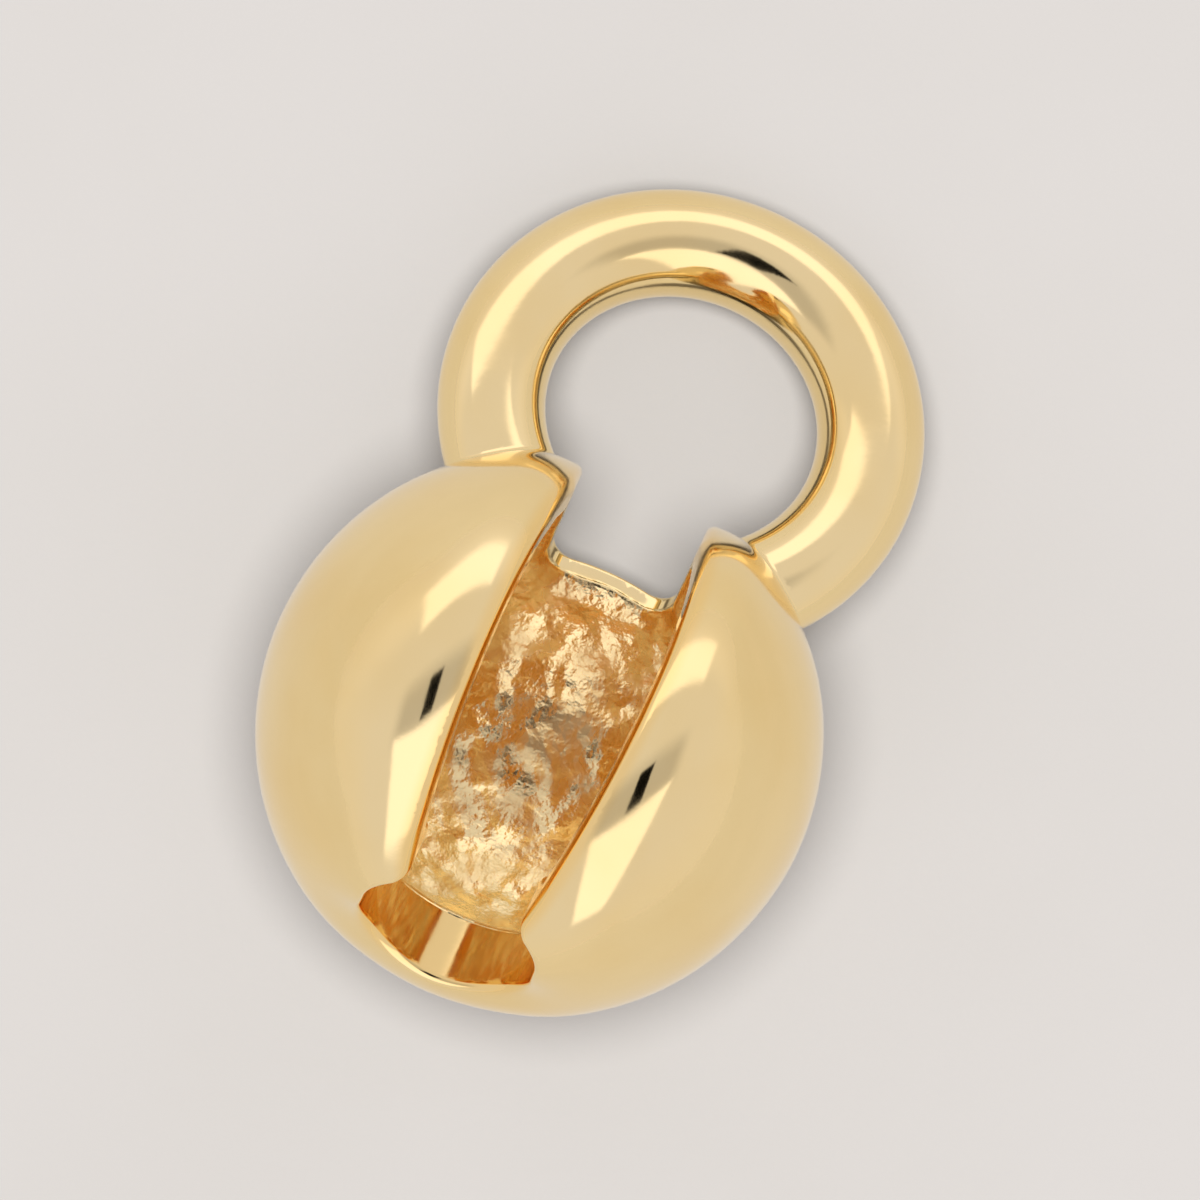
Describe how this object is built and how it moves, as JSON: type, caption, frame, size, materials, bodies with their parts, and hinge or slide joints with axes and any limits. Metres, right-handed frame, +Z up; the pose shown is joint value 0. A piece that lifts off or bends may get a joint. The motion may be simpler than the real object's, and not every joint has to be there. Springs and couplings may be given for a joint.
{
  "type": "clamshell bead tip",
  "caption": "Hollow ball with an open front slot, a thread hole at one end and a closed round loop at the other, for covering a knot or crimp at the end of a strand.",
  "frame": {"origin": "on the table under the middle of the part as it lies, loop end down", "axes": "+Z up off the table, +Y from the ball toward the loop, +X across the slot"},
  "size_m": [0.004, 0.006, 0.0039],
  "materials": {
    "gold_plate": "polished gold plate"
  },
  "bodies": {
    "root": {"bead_tip": "gold_plate"}
  },
  "joints": []
}
